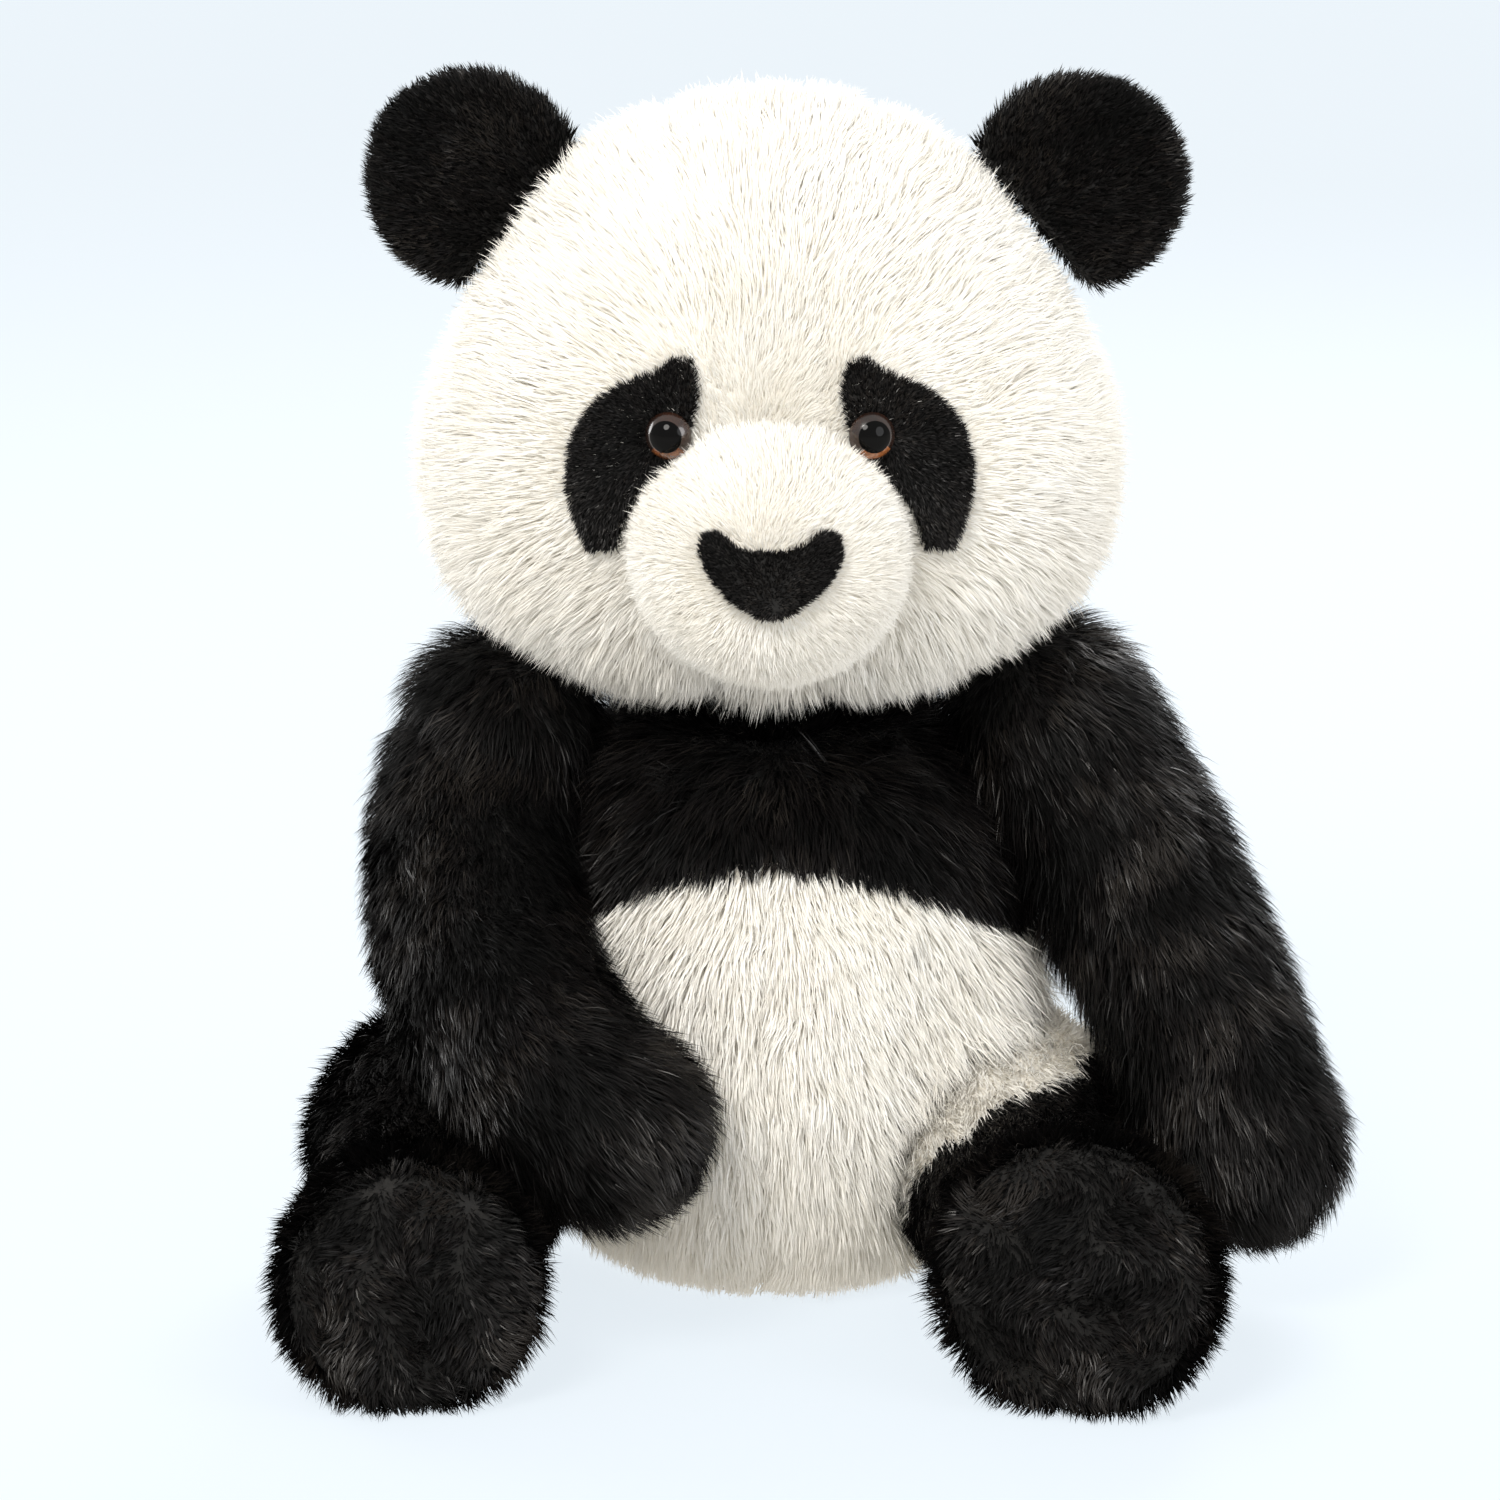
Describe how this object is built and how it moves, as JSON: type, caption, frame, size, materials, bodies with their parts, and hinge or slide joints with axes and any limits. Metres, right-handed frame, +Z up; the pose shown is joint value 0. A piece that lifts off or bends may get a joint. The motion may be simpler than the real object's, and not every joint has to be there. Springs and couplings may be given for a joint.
{
  "type": "plush panda",
  "caption": "Seated plush panda with a turning, nodding head, swinging arms, hinged hips and flexible ears, sewn from long plush over fibre and pellet filling.",
  "frame": {"origin": "centre of the flat seat face that the panda sits on", "axes": "+Z up along the body, -Y out of the face and belly, +X to the panda's own left"},
  "size_m": [0.2719, 0.2295, 0.3208],
  "materials": {
    "white_plush": "matte",
    "black_plush": "matte",
    "short_white_plush": "matte",
    "short_black_plush": "matte",
    "fibre_filling": "matte",
    "lining_cloth": "matte",
    "thread": "matte",
    "eye_plastic": "gloss",
    "washer_plastic": "satin"
  },
  "bodies": {
    "torso": {"chest_band_left": "black_plush", "chest_band_right": "black_plush", "back_band_left": "black_plush", "back_band_right": "black_plush", "belly_panel_left": "white_plush", "belly_panel_right": "white_plush", "back_panel_left": "white_plush", "back_panel_right": "white_plush", "seat_panel": "white_plush", "tail": "white_plush", "torso_stuffing": "fibre_filling", "seat_pellet_bag": "lining_cloth", "closing_stitches": "thread"},
    "neck": {"neck_stuffing": "fibre_filling"},
    "head": {"head_gusset": "white_plush", "chin_gusset": "white_plush", "face_left": "white_plush", "face_right": "white_plush", "head_back_left": "white_plush", "head_back_right": "white_plush", "head_stuffing": "fibre_filling", "muzzle_cover": "short_white_plush", "muzzle_stuffing": "fibre_filling", "nose_patch": "short_black_plush", "eye_patch_left": "short_black_plush", "eye_patch_right": "short_black_plush", "eye_left": "eye_plastic", "eye_right": "eye_plastic", "eye_washer_left": "washer_plastic", "eye_washer_right": "washer_plastic"},
    "ear_left": {"ear_front_left": "short_black_plush", "ear_back_left": "short_black_plush"},
    "ear_right": {"ear_front_right": "short_black_plush", "ear_back_right": "short_black_plush"},
    "arm_left": {"arm_outer_left": "black_plush", "arm_inner_left": "black_plush", "arm_stuffing_left": "fibre_filling", "paw_pellet_bag_left": "lining_cloth"},
    "arm_right": {"arm_outer_right": "black_plush", "arm_inner_right": "black_plush", "arm_stuffing_right": "fibre_filling", "paw_pellet_bag_right": "lining_cloth"},
    "leg_left": {"leg_outer_left": "black_plush", "leg_inner_left": "black_plush", "sole_left": "short_black_plush", "leg_stuffing_left": "fibre_filling", "foot_pellet_bag_left": "lining_cloth"},
    "leg_right": {"leg_outer_right": "black_plush", "leg_inner_right": "black_plush", "sole_right": "short_black_plush", "leg_stuffing_right": "fibre_filling", "foot_pellet_bag_right": "lining_cloth"}
  },
  "joints": [
    {"name": "neck_turn", "type": "hinge", "parent": "torso", "child": "neck", "pos_m": [0, -0.006, 0.168], "axis": [0, 0, 1], "range_deg": [-30, 30], "stiffness_Nm_per_rad": 0.12},
    {"name": "head_nod", "type": "hinge", "parent": "neck", "child": "head", "pos_m": [0, -0.006, 0.168], "axis": [-1, 0, 0], "range_deg": [-8, 8], "stiffness_Nm_per_rad": 0.6},
    {"name": "ear_left_flex", "type": "hinge", "parent": "head", "child": "ear_left", "pos_m": [0.0685, -0.008, 0.282], "axis": [0.6561, 0, -0.7547], "range_deg": [-15, 15], "stiffness_Nm_per_rad": 0.05},
    {"name": "ear_right_flex", "type": "hinge", "parent": "head", "child": "ear_right", "pos_m": [-0.065, -0.008, 0.283], "axis": [0.6561, 0, 0.7547], "range_deg": [-15, 15], "stiffness_Nm_per_rad": 0.05},
    {"name": "shoulder_left_swing", "type": "hinge", "parent": "torso", "child": "arm_left", "pos_m": [0.074, -0.008, 0.15], "axis": [-1, 0, 0], "range_deg": [0, 35]},
    {"name": "shoulder_right_swing", "type": "hinge", "parent": "torso", "child": "arm_right", "pos_m": [-0.071, -0.008, 0.147], "axis": [-1, 0, 0], "range_deg": [0, 35]},
    {"name": "hip_left_lift", "type": "hinge", "parent": "torso", "child": "leg_left", "pos_m": [0.063, -0.024, 0.037], "axis": [-1, 0, 0], "range_deg": [0, 16]},
    {"name": "hip_right_spread", "type": "hinge", "parent": "torso", "child": "leg_right", "pos_m": [-0.086, -0.026, 0.037], "axis": [0, 0, -1], "range_deg": [0, 20]}
  ]
}
